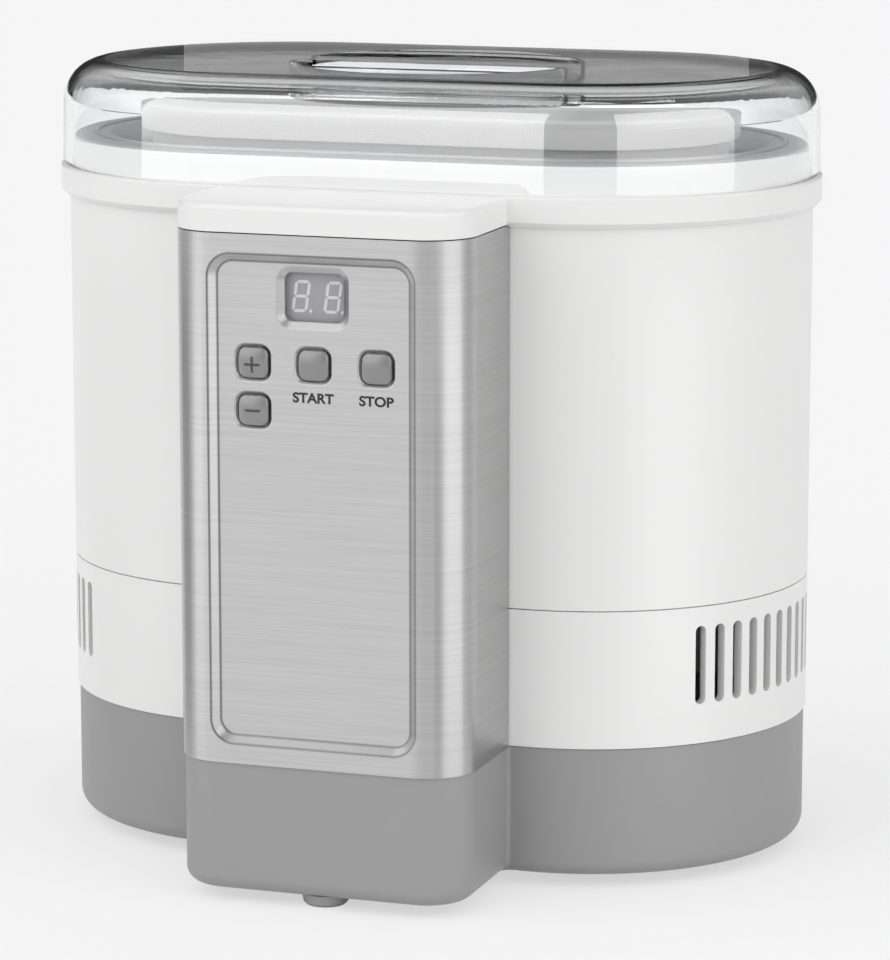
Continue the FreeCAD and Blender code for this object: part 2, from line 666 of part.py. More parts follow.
def heat_sink():
    """Extruded comb of fins under a base plate, open along X."""
    top = COLD_LOW - MODULE_HIGH
    under = top - SINK_PLATE
    outline = [(-SINK_HALF[1], top, 0), (-SINK_HALF[1], under, 0)]
    for i in range(FIN_COUNT):
        middle = (i - (FIN_COUNT - 1) / 2) * FIN_PITCH
        near, far = middle - FIN_WIDTH / 2, middle + FIN_WIDTH / 2
        outline += [(near, under, 0), (near + 0.3, SINK_FIN_LOW, 0),
                    (far - 0.3, SINK_FIN_LOW, 0), (far, under, 0)]
    outline += [(SINK_HALF[1], under, 0), (SINK_HALF[1], top, 0)]
    comb = prism(outline, lambda u, v: V(-SINK_HALF[0], BODY_Y + u, v), RIGHT * (2 * SINK_HALF[0]))
    holes = [stud(1.4, (x, BODY_Y + y, under - 1), UP, SINK_PLATE + 2) for x, y in CLAMP_SPOTS]
    return single(comb.cut(holes))


def clamp_screws():
    """Slim screws that clamp the heat sink and the module to the cold block."""
    seat = COLD_LOW - MODULE_HIGH - SINK_PLATE
    return Part.makeCompound([screw(V(x, BODY_Y + y, seat), UP, 1.9, 2.4, 1.25, 20)
                              for x, y in CLAMP_SPOTS])


def fan_frame():
    """Square fan housing with four struts, a motor disc and the bearing tube."""
    middle = (FAN_LEFT, BODY_Y, FAN_Z)
    right = FAN_LEFT + FAN_DEEP
    body = prism(rectangle(FAN_HALF, FAN_HALF, 4.0, BODY_Y, FAN_Z),
                 lambda u, v: V(FAN_LEFT, u, v), RIGHT * FAN_DEEP)
    body = body.cut(stud(FAN_BORE_R, middle, RIGHT, FAN_DEEP))
    disc = stud(FAN_HUB_R, (right - 3, BODY_Y, FAN_Z), RIGHT, 3)
    tube = stud(4.0, (right - 20, BODY_Y, FAN_Z), RIGHT, 20)
    struts = []
    for i in range(4):
        arm = block((right - 3, BODY_Y - 1.6, FAN_Z + 12), (right, BODY_Y + 1.6, FAN_Z + FAN_BORE_R + 1))
        struts.append(arm.rotated(V(*middle), RIGHT, 90 * i + 45))
    frame = joined(body, disc, tube, *struts)
    cuts = [stud(2.1, (FAN_LEFT - 1, BODY_Y + y, FAN_Z + z), RIGHT, FAN_DEEP + 2)
            for y in (-FAN_HOLE, FAN_HOLE) for z in (-FAN_HOLE, FAN_HOLE)]
    cuts.append(stud(SHAFT_R + SHAFT_PLAY, (right - 21, BODY_Y, FAN_Z), RIGHT, 19.5))
    return single(frame.cut(cuts))


def fan_stator():
    """Wound stator with four poles, fixed on the bearing tube."""
    left = FAN_LEFT + 9
    ring_r, pole_r = 6.5, 10.8
    core = stud(ring_r, (left, BODY_Y, FAN_Z), RIGHT, 9)
    poles = []
    for i in range(4):
        pole = block((left + 1, BODY_Y - 3, FAN_Z), (left + 8, BODY_Y + 3, FAN_Z + pole_r))
        poles.append(pole.rotated(V(left, BODY_Y, FAN_Z), RIGHT, 90 * i))
    return single(joined(core, *poles).cut(stud(4.05, (left - 1, BODY_Y, FAN_Z), RIGHT, 12)))


def fan_blade():
    """One twisted blade from hub to tip, pointing up from the fan's axis."""
    wires = []
    for radius, axial, turn in ((FAN_HUB_R - 1, 13.0, 8.0), (FAN_TIP_R, 10.0, 12.0)):
        left = FAN_LEFT + 9.5 - axial / 2
        right = FAN_LEFT + 9.5 + axial / 2
        corners = [(left, -turn / 2 - 0.6, 0), (right, turn / 2 - 0.6, 0),
                   (right, turn / 2 + 0.6, 0), (left, -turn / 2 + 0.6, 0)]
        wires.append(rounded_path(corners, lambda u, v: V(u, BODY_Y + v, FAN_Z + radius)))
    return Part.makeLoft(wires, True, True)


def fan_rotor():
    """Hub cup with shaft and twisted blades."""
    left = FAN_LEFT + 2
    cup = stud(FAN_HUB_R, (left, BODY_Y, FAN_Z), RIGHT, 15)
    hollow = stud(FAN_HUB_R - 3, (left + 2, BODY_Y, FAN_Z), RIGHT, 15)
    tips = stud(FAN_TIP_R, (FAN_LEFT, BODY_Y, FAN_Z), RIGHT, FAN_DEEP)
    blades = [fan_blade().rotated(V(0, BODY_Y, FAN_Z), RIGHT, 360 / FAN_BLADES * i).common(tips)
              for i in range(FAN_BLADES)]
    cup = joined(cup, *blades).cut(hollow)
    return joined(cup, stud(SHAFT_R, (left + 1, BODY_Y, FAN_Z), RIGHT, FAN_DEEP - 5))


def fan_screws():
    """Screws through the fan's corners into the gaps between the heat sink's fins."""
    return Part.makeCompound([screw(V(FAN_LEFT, BODY_Y + y, FAN_Z + z), RIGHT, SCREW_HEAD_R, SCREW_HEAD,
                                    SCREW_R, FAN_DEEP + 12)
                              for y in (-FAN_HOLE, FAN_HOLE) for z in (-FAN_HOLE, FAN_HOLE)])


def yogurt_container():
    """Tapered pot with a round floor edge and a turned-out rim."""
    inner_floor = POT_FLOOR + 2.4
    return rounded_round([
        (0, POT_FLOOR, 0), (POT_LOW_R, POT_FLOOR, 7.0), (POT_TOP_R, POT_TOP - 4.5, 0.8),
        (POT_RIM_R, POT_TOP - 3.0, 0.8), (POT_RIM_R, POT_TOP, 0.8), (POT_TOP_R - POT_WALL, POT_TOP, 0.8),
        (POT_LOW_R - POT_WALL, inner_floor, 5.0), (0, inner_floor, 0)])


def container_lid():
    """Press-on lid with a skirt round the pot's rim, an inner sealing rib and a sunk panel."""
    under = POT_TOP + 0.3
    skirt = POT_LID_R - 1.6
    rib = POT_TOP_R - POT_WALL - 0.8
    return rounded_round([
        (0, under - 1.2, 0), (rib - 6.0, under - 1.2, 1.0), (rib - 3.5, under, 1.0), (rib - 1.4, under, 0),
        (rib - 1.4, under - 3.5, 0), (rib, under - 3.5, 0.4), (rib, under, 0), (skirt, under, 0),
        (skirt, under - 7.5, 0), (POT_LID_R, under - 7.5, 0.4), (POT_LID_R, POT_LID_TOP, 1.6),
        (rib - 3.0, POT_LID_TOP, 1.0), (rib - 5.5, POT_LID_TOP - 1.2, 1.0), (0, POT_LID_TOP - 1.2, 0)])


def grip_corners(radius, bar, side):
    """Outline of one D-shaped finger pocket as an arc on a chord: its two ends and its far point."""
    half = math.sqrt(radius * radius - bar * bar)
    return ((-half, BODY_Y + side * bar), (0.0, BODY_Y + side * radius), (half, BODY_Y + side * bar))


def grip_solid(radius, bar, side, low, high, corner, edge):
    """D-shaped solid for a finger pocket, with rounded upright corners and lower edge."""
    start, far, stop = (V(x, y, low) for x, y in grip_corners(radius, bar, side))
    wire = Part.Wire([Part.Arc(start, far, stop).toShape(), Part.makeLine(stop, start)])
    solid = Part.Face(wire).extrude(UP * (high - low))
    upright = [e for e in solid.Edges if e.BoundBox.ZLength > 1 and e.BoundBox.XLength < 0.01]
    solid = solid.makeFillet(corner, upright)
    lower = [e for e in solid.Edges if e.BoundBox.ZMax < low + 0.01]
    return solid.makeFillet(edge, lower)


def outer_lid():
    """Clear cover: drafted wall, wide rounded edge and two finger pockets with a bar between."""
    low = LEDGE + 0.2
    shoulder = LID_R - LID_DRAFT
    inside = LID_TOP - LID_WALL
    dome = rounded_round([(0, LID_TOP, 0), (shoulder, LID_TOP, LID_EDGE), (LID_R, low, 0.8),
                          (LID_R - LID_WALL, low, 0.8), (shoulder - LID_WALL, inside, LID_EDGE - LID_WALL),
                          (0, inside, 0)])
    floor = LID_TOP - GRIP_DEPTH
    for side in (-1, 1):
        wall = grip_solid(GRIP_R + GRIP_WALL, GRIP_BAR - GRIP_WALL, side, floor - GRIP_WALL,
                          inside + 1, 5.0, 4.0)
        dome = dome.fuse(wall)
    for side in (-1, 1):
        dome = dome.cut(grip_solid(GRIP_R, GRIP_BAR, side, floor, LID_TOP + 1, 3.0, 2.0))
    return single(dome.removeSplitter())


PIECES = (base_tray, feet, base_screws, vent_band, upper_shell, top_rim, column_cladding, column_frame,
          display_lens, led_display, control_board, board_screws, tact_switches, power_transformer,
          power_capacitors, ribbon_cable, cord_grommet, well_liner, heater_band, insulation,
          temperature_sensor, cold_block, thermoelectric_module, heat_sink, clamp_screws, fan_frame,
          fan_stator, fan_rotor, fan_screws, yogurt_container, container_lid, outer_lid)


def main():
    """Build every piece and write it under its own name."""
    os.makedirs("parts", exist_ok=True)
    made = {piece.__name__: piece() for piece in PIECES}
    made["power_board"] = upright_board(POWER_HALF, POWER_LOW, POWER_HIGH, POWER_BOARD)
    for name, spot in BUTTON_SPOTS.items():
        made[name] = push_button(spot)
    for name, shape in made.items():
        if not shape.isValid():
            raise ValueError(f"{name} is not a sound solid")
        shape.exportStep(f"parts/{name}.step")


main()
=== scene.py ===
"""Looks of a countertop yogurt maker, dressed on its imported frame. Metres, +Z up, front towards -Y."""

import logging
import math
from collections.abc import Mapping, Sequence
from dataclasses import dataclass, field
from enum import Enum
from typing import Any

import bpy
import numpy as np
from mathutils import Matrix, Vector


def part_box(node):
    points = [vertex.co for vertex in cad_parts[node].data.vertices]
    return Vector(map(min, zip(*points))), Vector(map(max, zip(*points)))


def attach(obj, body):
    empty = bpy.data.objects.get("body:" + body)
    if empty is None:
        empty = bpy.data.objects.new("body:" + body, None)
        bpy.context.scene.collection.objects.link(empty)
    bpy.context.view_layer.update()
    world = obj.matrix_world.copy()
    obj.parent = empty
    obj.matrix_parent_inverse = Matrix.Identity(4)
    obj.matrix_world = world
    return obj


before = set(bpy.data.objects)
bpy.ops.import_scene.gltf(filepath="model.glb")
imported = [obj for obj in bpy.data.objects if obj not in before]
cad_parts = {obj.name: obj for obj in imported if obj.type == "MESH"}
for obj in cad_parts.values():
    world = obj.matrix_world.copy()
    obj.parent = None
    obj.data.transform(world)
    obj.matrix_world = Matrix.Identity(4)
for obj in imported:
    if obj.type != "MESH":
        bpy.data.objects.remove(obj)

LOG = logging.getLogger("yogurt_maker")
MM = 0.001
NO_SETTINGS: Mapping[str, Any] = {}
NOISE_MIDDLE = 0.5
Colour = tuple[float, float, float]
Point = tuple[float, float, float]
Span = tuple[float, float]


class Value:
    """A shader number: an output socket whose arithmetic adds Math nodes."""

    def __init__(self, graph: "Graph", socket: bpy.types.NodeSocket) -> None:
        """Keep the socket and the graph that it belongs to."""
        self.graph = graph
        self.socket = socket

    def _math(self, operation: str, first: Any, second: Any) -> "Value":
        """Add one Math node.

        Args:
            operation: Name of the Math node's operation.
            first: Left operand, a number or a Value.
            second: Right operand, a number or a Value.

        Returns:
            The result as a Value.
        """
        node = self.graph.node("ShaderNodeMath", {"operation": operation}, {0: first, 1: second})
        return Value(self.graph, node.outputs[0])

    def __add__(self, other: Any) -> "Value":
        """Sum."""
        return self._math("ADD", self, other)

    def __radd__(self, other: Any) -> "Value":
        """Sum with the number on the left."""
        return self._math("ADD", other, self)

    def __sub__(self, other: Any) -> "Value":
        """Difference."""
        return self._math("SUBTRACT", self, other)

    def __rsub__(self, other: Any) -> "Value":
        """Difference with the number on the left."""
        return self._math("SUBTRACT", other, self)

    def __mul__(self, other: Any) -> "Value":
        """Product."""
        return self._math("MULTIPLY", self, other)

    def __rmul__(self, other: Any) -> "Value":
        """Product with the number on the left."""
        return self._math("MULTIPLY", other, self)

    def __abs__(self) -> "Value":
        """Size without the sign."""
        return self._math("ABSOLUTE", self, 0.0)

    def __pow__(self, other: float) -> "Value":
        """Power."""
        return self._math("POWER", self, other)

    def above(self, other: float) -> "Value":
        """The larger of the two."""
        return self._math("MAXIMUM", self, other)

    def sine(self) -> "Value":
        """Sine of an angle in radians."""
        return self._math("SINE", self, 0.0)


class Graph:
    """A node tree that code empties and fills."""

    def __init__(self, tree: bpy.types.NodeTree) -> None:
        """Take over a node tree and clear it."""
        self.tree = tree
        tree.nodes.clear()

    def node(self, kind: str, settings: Mapping[str, Any] = NO_SETTINGS,
             sockets: Mapping[Any, Any] = NO_SETTINGS) -> bpy.types.Node:
        """Add any node: its settings first, then its sockets.

        Args:
            kind: Blender's name of the node type.
            settings: Attributes of the node, such as an operation.
            sockets: Inputs by name or number, each a plain value, a Value or an output socket.

        Returns:
            The new node.
        """
        made = self.tree.nodes.new(kind)
        for name, setting in settings.items():
            setattr(made, name, setting)
        for key, given in sockets.items():
            source = given.socket if isinstance(given, Value) else given
            if isinstance(source, bpy.types.NodeSocket):
                self.tree.links.new(source, made.inputs[key])
            else:
                made.inputs[key].default_value = source
        return made

    def place(self) -> bpy.types.NodeSocket:
        """Object coordinates of the shaded point."""
        return self.node("ShaderNodeTexCoord").outputs["Object"]

    def stretched(self, scale: Sequence[float]) -> bpy.types.NodeSocket:
        """Object coordinates scaled by a factor per axis."""
        return self.node("ShaderNodeMapping", {}, {"Vector": self.place(), "Scale": scale}).outputs[0]

    def noise(self, scale: Sequence[float], detail: float = 2.0) -> Value:
        """Noise of about 0.25 to 0.75.

        Args:
            scale: Cells per metre along X, Y and Z.
            detail: Octaves of finer noise.

        Returns:
            The noise as a Value.
        """
        node = self.node("ShaderNodeTexNoise", {}, {"Vector": self.stretched(scale), "Scale": 1.0,
                                                    "Detail": detail})
        return Value(self, node.outputs[0])

    def step(self, value: Value, low: float, high: float) -> Value:
        """Smooth step from 0 at low to 1 at high."""
        node = self.node("ShaderNodeMapRange", {"interpolation_type": "SMOOTHSTEP"},
                         {"Value": value, "From Min": low, "From Max": high})
        return Value(self, node.outputs[0])

    def blend(self, mask: Value, first: Colour, second: Colour) -> bpy.types.NodeSocket:
        """Colour that goes from first to second as the mask goes from 0 to 1."""
        node = self.node("ShaderNodeMix", {"data_type": "RGBA"}, {0: mask, 6: (*first, 1), 7: (*second, 1)})
        return node.outputs[2]

    def bump(self, height: Value, depth: float) -> bpy.types.NodeSocket:
        """Normal from a height of 0 to 1 that stands for a depth in metres."""
        return self.node("ShaderNodeBump", {}, {"Height": height, "Distance": depth}).outputs[0]

    def axes(self, vector: bpy.types.NodeSocket) -> tuple[Value, Value, Value]:
        """The three parts of a vector.

        Args:
            vector: Output socket that gives the vector.

        Returns:
            Its X, Y and Z as Values.
        """
        node = self.node("ShaderNodeSeparateXYZ", {}, {0: vector})
        x, y, z = (Value(self, output) for output in node.outputs)
        return x, y, z

    def shader(self, kind: str, sockets: Mapping[Any, Any] = NO_SETTINGS) -> bpy.types.NodeSocket:
        """Add a shader node by the end of its type's name and give its output."""
        return self.node(f"ShaderNode{kind}", {}, sockets).outputs[0]

    def finish(self, shader: bpy.types.NodeSocket) -> None:
        """End a material with this shader."""
        self.node("ShaderNodeOutputMaterial", {}, {0: shader})

    def surface(self, sockets: Mapping[str, Any]) -> None:
        """End a material with the principled shader and these inputs."""
        self.finish(self.shader("BsdfPrincipled", sockets))


def toned(colour: Colour, factor: float) -> Colour:
    """The colour made lighter or darker by a factor."""
    red, green, blue = (min(part * factor, 1.0) for part in colour)
    return red, green, blue


def even(cells: float) -> Point:
    """The same number of cells per metre along all three axes."""
    return cells, cells, cells


@dataclass(frozen=True)
class Finish:
    """Base of every finish: a named material that paint() fills."""

    name: str
    colour: Colour

    def paint(self, graph: Graph) -> None:
        """Fill the material's nodes."""
        raise NotImplementedError

    def material(self) -> bpy.types.Material:
        """The finish as a Blender material, made once.

        Returns:
            The material of the finish's name.
        """
        found = bpy.data.materials.get(self.name)
        if found is None:
            found = bpy.data.materials.new(self.name)
            found.use_nodes = True
            found.diffuse_color = (*self.colour, 1)
            self.paint(Graph(found.node_tree))
        return found


@dataclass(frozen=True)
class MouldedPlastic(Finish):
    """Injection-moulded plastic or rubber: slow mottling, a fine grain and uneven gloss."""

    roughness: float = 0.35
    unevenness: float = 0.12
    mottle: float = 0.03
    grain: float = 0.9 * MM
    depth: float = 0.01 * MM
    coat: float = 0.0
    metal: float = 0.0
    coat_roughness: float = 0.05
    mottle_cells: float = 14
    gloss_cells: float = 90

    def paint(self, graph: Graph) -> None:
        """Colour from slow noise, roughness from middling noise, bump from fine noise.

        Args:
            graph: Node tree of the material.
        """
        slow = graph.noise(even(self.mottle_cells))
        middling = graph.noise(even(self.gloss_cells), detail=4)
        fine = graph.noise(even(1 / self.grain))
        graph.surface({
            "Base Color": graph.blend(slow, toned(self.colour, 1 - self.mottle),
                                      toned(self.colour, 1 + self.mottle)),
            "Roughness": self.roughness + self.unevenness * (middling - NOISE_MIDDLE),
            "Normal": graph.bump(fine, self.depth), "Metallic": self.metal,
            "Coat Weight": self.coat, "Coat Roughness": self.coat_roughness})


@dataclass(frozen=True)
class BrushedSteel(Finish):
    """Stainless sheet brushed level all round: long fine streaks in tone, gloss and bump.

    Painted shade tones the stamped panel's two bend lines darker than the sheet.
    """

    panel_half: Span = (35.2 * MM, 80.35 * MM)
    panel_middle: float = 134.35 * MM
    panel_corner: float = 8 * MM
    panel_slope: float = 2.6 * MM
    crease: float = 0.62 * MM
    bend_shade_tone: float = 0.4
    roughness: float = 0.33
    fine: float = 0.22 * MM
    broad: float = 0.9 * MM
    length: float = 30 * MM
    broad_stretch: float = 3
    fine_share: float = 0.55
    streak_span: Span = (0.32, 0.68)
    streak_tones: Span = (0.93, 1.06)
    fine_gloss: float = 0.1
    fine_depth: float = 0.003 * MM
    cloud_cells: Point = (12, 12, 9)
    cloud_gloss: float = 0.06
    anisotropy: float = 0.9
    brushing_turn: float = 0.25

    def painted_bend_shade(self, graph: Graph) -> Value:
        """Mask of the painted shade on the panel's two bend lines, from the distance to its rounded
        outline.

        The distance is that of a rectangle shrunk by its corner radius, less that radius.

        Args:
            graph: Node tree of the material.

        Returns:
            A Value of 1 on either bend that falls to 0 beside it.
        """
        x, _, z = graph.axes(graph.place())
        across = (abs(x) - (self.panel_half[0] - self.panel_corner)).above(0)
        up = (abs(z - self.panel_middle) - (self.panel_half[1] - self.panel_corner)).above(0)
        outside = (across * across + up * up) ** 0.5 - self.panel_corner
        lines = [1 - graph.step(abs(outside + inset), 0, self.crease) for inset in (0, self.panel_slope)]
        return lines[0] + lines[1]

    def paint(self, graph: Graph) -> None:
        """Noise drawn out along X and Y, so that its streaks lie level on every upright face.

        Args:
            graph: Node tree of the material.
        """
        along = 1 / self.length
        farther = along / self.broad_stretch
        hair = graph.noise((along, along, 1 / self.fine), detail=3)
        band = graph.noise((farther, farther, 1 / self.broad))
        cloud = graph.noise(self.cloud_cells)
        streak = graph.step(self.fine_share * hair + (1 - self.fine_share) * band, *self.streak_span)
        dark, light = (toned(self.colour, factor) for factor in self.streak_tones)
        tone = graph.blend(streak, dark, light)
        # Painted shade: the base colour is darkened along both bend lines of the panel.
        shade = 1 - (1 - self.bend_shade_tone) * self.painted_bend_shade(graph)
        graph.surface({
            "Base Color": graph.node("ShaderNodeVectorMath", {"operation": "SCALE"},
                                     {0: tone, "Scale": shade}).outputs[0],
            "Metallic": 1.0,
            "Roughness": (self.roughness + self.fine_gloss * (hair - NOISE_MIDDLE)
                          + self.cloud_gloss * (cloud - NOISE_MIDDLE)),
            "Anisotropic": self.anisotropy, "Anisotropic Rotation": self.brushing_turn,
            "Normal": graph.bump(hair, self.fine_depth)})


@dataclass(frozen=True)
class DrawnMetal(Finish):
    """Plain drawn or extruded metal: faint marks along one axis and a cloudy gloss."""

    roughness: float = 0.34
    marks: Point = (40, 900, 900)
    mark_tones: Span = (0.9, 1.08)
    mark_gloss: float = 0.08
    mark_depth: float = 0.01 * MM
    cloud_cells: float = 22
    cloud_gloss: float = 0.18

    def paint(self, graph: Graph) -> None:
        """Marks from noise drawn out along the working direction, clouds from slow noise.

        Args:
            graph: Node tree of the material.
        """
        mark = graph.noise(self.marks, detail=3)
        cloud = graph.noise(even(self.cloud_cells), detail=3)
        dark, light = (toned(self.colour, factor) for factor in self.mark_tones)
        graph.surface({
            "Base Color": graph.blend(mark, dark, light),
            "Metallic": 1.0,
            "Roughness": (self.roughness + self.cloud_gloss * (cloud - NOISE_MIDDLE)
                          + self.mark_gloss * (mark - NOISE_MIDDLE)),
            "Normal": graph.bump(mark, self.mark_depth)})


@dataclass(frozen=True)
class ClearPlastic(Finish):
    """Clear moulded cover: refracting, with a trace of haze and flow waves, and open to soft light."""

    roughness: float = 0.02
    haze_roughness: float = 0.04
    haze_span: Span = (0.55, 0.8)
    haze_tone: float = 0.985
    haze_cells: float = 60
    wave_cells: float = 25
    wave_depth: float = 0.04 * MM
    refraction: float = 1.58

    def paint(self, graph: Graph) -> None:
        """Haze in the roughness and waves in the bump; shadow and diffuse rays go straight through.

        Args:
            graph: Node tree of the material.
        """
        haze = graph.noise(even(self.haze_cells), detail=4)
        wave = graph.noise(even(self.wave_cells))
        clear = graph.shader("BsdfPrincipled", {
            "Base Color": graph.blend(haze, toned(self.colour, self.haze_tone), self.colour),
            "Roughness": self.roughness + self.haze_roughness * graph.step(haze, *self.haze_span),
            "Normal": graph.bump(wave, self.wave_depth),
            "Transmission Weight": 1.0, "IOR": self.refraction})
        path = graph.node("ShaderNodeLightPath").outputs
        soft = Value(graph, path["Is Shadow Ray"]) + Value(graph, path["Is Diffuse Ray"])
        graph.finish(graph.shader("MixShader", {0: soft, 1: clear, 2: graph.shader("BsdfTransparent")}))


@dataclass(frozen=True)
class SmokedWindow(Finish):
    """Display window: a tinted clear pane that lets most of the digits through."""

    cover: float = 0.1
    roughness: float = 0.068
    unevenness: float = 0.08
    haze_cells: float = 300
    coat_roughness: float = 0.03

    def paint(self, graph: Graph) -> None:
        """A little haze decides how much of the pane shows and how sharply it mirrors.

        Args:
            graph: Node tree of the material.
        """
        haze = graph.noise(even(self.haze_cells), detail=3)
        swing = self.unevenness * (haze - NOISE_MIDDLE)
        graph.surface({
            "Base Color": (*self.colour, 1),
            "Roughness": self.roughness + swing,
            "Alpha": self.cover + swing,
            "Coat Weight": 1.0, "Coat Roughness": self.coat_roughness})


@dataclass(frozen=True)
class Foam(Finish):
    """Expanded beads pressed together: each bead a cell with its own tone and a sunk border."""

    bead: float = 3.2 * MM
    bead_depth: float = 0.4 * MM
    bead_tone: float = 0.92
    roughness: float = 0.7
    unevenness: float = 0.15

    def paint(self, graph: Graph) -> None:
        """Distance to the nearest cell centre gives the bump, the cell's own number the tone.

        Args:
            graph: Node tree of the material.
        """
        cells = graph.node("ShaderNodeTexVoronoi", {},
                           {"Vector": graph.stretched(even(1 / self.bead)), "Scale": 1.0})
        tone, _, _ = graph.axes(cells.outputs["Color"])
        dome = 1 - Value(graph, cells.outputs["Distance"])
        graph.surface({
            "Base Color": graph.blend(tone, toned(self.colour, self.bead_tone), self.colour),
            "Roughness": self.roughness + self.unevenness * tone,
            "Normal": graph.bump(dome, self.bead_depth)})


@dataclass(frozen=True)
class CircuitBoard(Finish):
    """Solder mask over copper: straight-edged tracks show through as paler paths."""

    track: Colour = (0.08, 0.34, 0.16)
    track_edge: Span = (0.42, 0.46)
    track_height: float = 0.03 * MM
    pitch: float = 2.5 * MM
    pitch_up: float = 6.25 * MM
    roughness: float = 0.3
    unevenness: float = 0.2
    gloss_cells: float = 120

    def paint(self, graph: Graph) -> None:
        """Square distance from the centres of scattered cells: what lies far from all is track.

        Args:
            graph: Node tree of the material.
        """
        place = graph.stretched((1 / self.pitch, 0, 1 / self.pitch_up))
        cells = graph.node("ShaderNodeTexVoronoi", {"distance": "CHEBYCHEV"},
                           {"Vector": place, "Scale": 1.0})
        path = graph.step(Value(graph, cells.outputs["Distance"]), *self.track_edge)
        gloss = graph.noise(even(self.gloss_cells))
        graph.surface({
            "Base Color": graph.blend(path, self.colour, self.track),
            "Roughness": self.roughness + self.unevenness * (gloss - NOISE_MIDDLE),
            "Normal": graph.bump(path, self.track_height)})


class Axis(Enum):
    """Axes of the frame, by their place in a vector."""

    X = 0
    Y = 1
    Z = 2


@dataclass(frozen=True)
class Striped(Finish):
    """Parallel stripes along one axis: cores of a flat cable, or the print of a heater foil."""

    second: Colour = (0.2, 0.2, 0.21)
    pitch: float = 1.27 * MM
    across: Axis = Axis.X
    roughness: float = 0.5
    unevenness: float = 0.2
    stripe_edge: Span = (0.2, 0.6)
    ridge_height: float = 0.2 * MM
    wear_cells: float = 200

    def paint(self, graph: Graph) -> None:
        """A sine of the place across the stripes gives their tone and their rounding.

        Args:
            graph: Node tree of the material.
        """
        part = graph.axes(graph.place())[self.across.value]
        ridge = 0.5 + 0.5 * (part * (2 * math.pi / self.pitch)).sine()
        wear = graph.noise(even(self.wear_cells))
        graph.surface({
            "Base Color": graph.blend(graph.step(ridge, *self.stripe_edge), self.second, self.colour),
            "Roughness": self.roughness + self.unevenness * (wear - NOISE_MIDDLE),
            "Normal": graph.bump(ridge, self.ridge_height)})


class Slot(Enum):
    """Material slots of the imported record."""

    WHITE = "white_plastic"
    GREY = "grey_plastic"
    STEEL = "steel_sheet"
    CLEAR = "clear_plastic"
    POT = "pot_plastic"
    ALUMINIUM = "aluminium"
    BUTTON = "button_plastic"
    LENS = "lens_plastic"
    LED = "led_module"
    RUBBER = "rubber"
    FOAM = "foam"
    BOARD = "circuit_board"
    DARK = "dark_plastic"
    SCREW = "screw_steel"
    HEATER = "heater_foil"
    CERAMIC = "ceramic_plate"
    CAN = "capacitor_can"
    RIBBON = "ribbon"
    TUB = "tub_metal"


FINISHES: Mapping[Slot, Finish] = {
    Slot.WHITE: MouldedPlastic("white_moulding", (0.86, 0.86, 0.855), roughness=0.3, unevenness=0.1,
                               mottle=0.012, grain=1.4 * MM, depth=0.012 * MM),
    Slot.GREY: MouldedPlastic("grey_moulding", (0.33, 0.33, 0.333), roughness=0.46, unevenness=0.14,
                              grain=0.6 * MM, depth=0.03 * MM),
    Slot.STEEL: BrushedSteel("brushed_steel", (0.54, 0.54, 0.54)),
    Slot.CLEAR: ClearPlastic("clear_cover", (0.98, 0.985, 0.99)),
    # Painted shade: the pot's colour is set darker than its own pale tone, for the shade the cover casts on
    # it.
    Slot.POT: MouldedPlastic("pot_plastic_painted_shade", (0.51, 0.51, 0.506), roughness=0.32, unevenness=0.1,
                             mottle=0.02, grain=1.6 * MM, depth=0.003 * MM),
    Slot.ALUMINIUM: DrawnMetal("drawn_aluminium", (0.56, 0.56, 0.57)),
    Slot.BUTTON: MouldedPlastic("grey_button", (0.27, 0.27, 0.273), roughness=0.25, unevenness=0.08,
                                grain=0.8 * MM, depth=0.006 * MM, coat=0.6, metal=0.6),
    Slot.LENS: SmokedWindow("display_window", (0.42, 0.42, 0.46)),
    Slot.LED: MouldedPlastic("display_face", (0.43, 0.43, 0.46), roughness=0.5, unevenness=0.1,
                             mottle=0.04, grain=0.5 * MM),
    Slot.RUBBER: MouldedPlastic("grey_rubber", (0.34, 0.34, 0.34), roughness=0.75, unevenness=0.1,
                                mottle=0.08, grain=0.7 * MM, depth=0.04 * MM),
    Slot.FOAM: Foam("bead_foam", (0.85, 0.85, 0.83)),
    Slot.BOARD: CircuitBoard("board_mask", (0.02, 0.18, 0.07)),
    Slot.DARK: MouldedPlastic("dark_moulding", (0.035, 0.035, 0.037), roughness=0.5, unevenness=0.15,
                              mottle=0.1, grain=0.6 * MM, depth=0.02 * MM),
    Slot.SCREW: DrawnMetal("screw_steel", (0.5, 0.5, 0.5), roughness=0.38, marks=(300, 300, 1500)),
    Slot.HEATER: Striped("heater_print", (0.6, 0.33, 0.12), second=(0.42, 0.36, 0.28), pitch=4 * MM,
                         across=Axis.Z, roughness=0.35),
    Slot.CERAMIC: MouldedPlastic("ceramic_plate", (0.8, 0.8, 0.77), roughness=0.55, unevenness=0.1,
                                 grain=0.4 * MM),
    Slot.CAN: MouldedPlastic("capacitor_sleeve", (0.03, 0.04, 0.1), roughness=0.25, unevenness=0.1,
                             mottle=0.06, depth=0.006 * MM, coat=0.4),
    Slot.RIBBON: Striped("flat_cable", (0.45, 0.45, 0.46)),
    Slot.TUB: DrawnMetal("tub_metal", (0.34, 0.34, 0.345), roughness=0.3, marks=(60, 60, 900)),
}
INK = MouldedPlastic("printed_ink", (0.02, 0.02, 0.02), roughness=0.5, unevenness=0.2, mottle=0.2,
                     grain=0.3 * MM, depth=0.004 * MM)
MARK = MouldedPlastic("button_mark", (0.06, 0.06, 0.062), roughness=0.45, unevenness=0.1, mottle=0.1,
                      grain=0.3 * MM, depth=0.004 * MM)
SEGMENT = MouldedPlastic("milky_segment", (0.9, 0.9, 0.9), roughness=0.4, unevenness=0.1,
                         grain=0.4 * MM, depth=0.004 * MM)


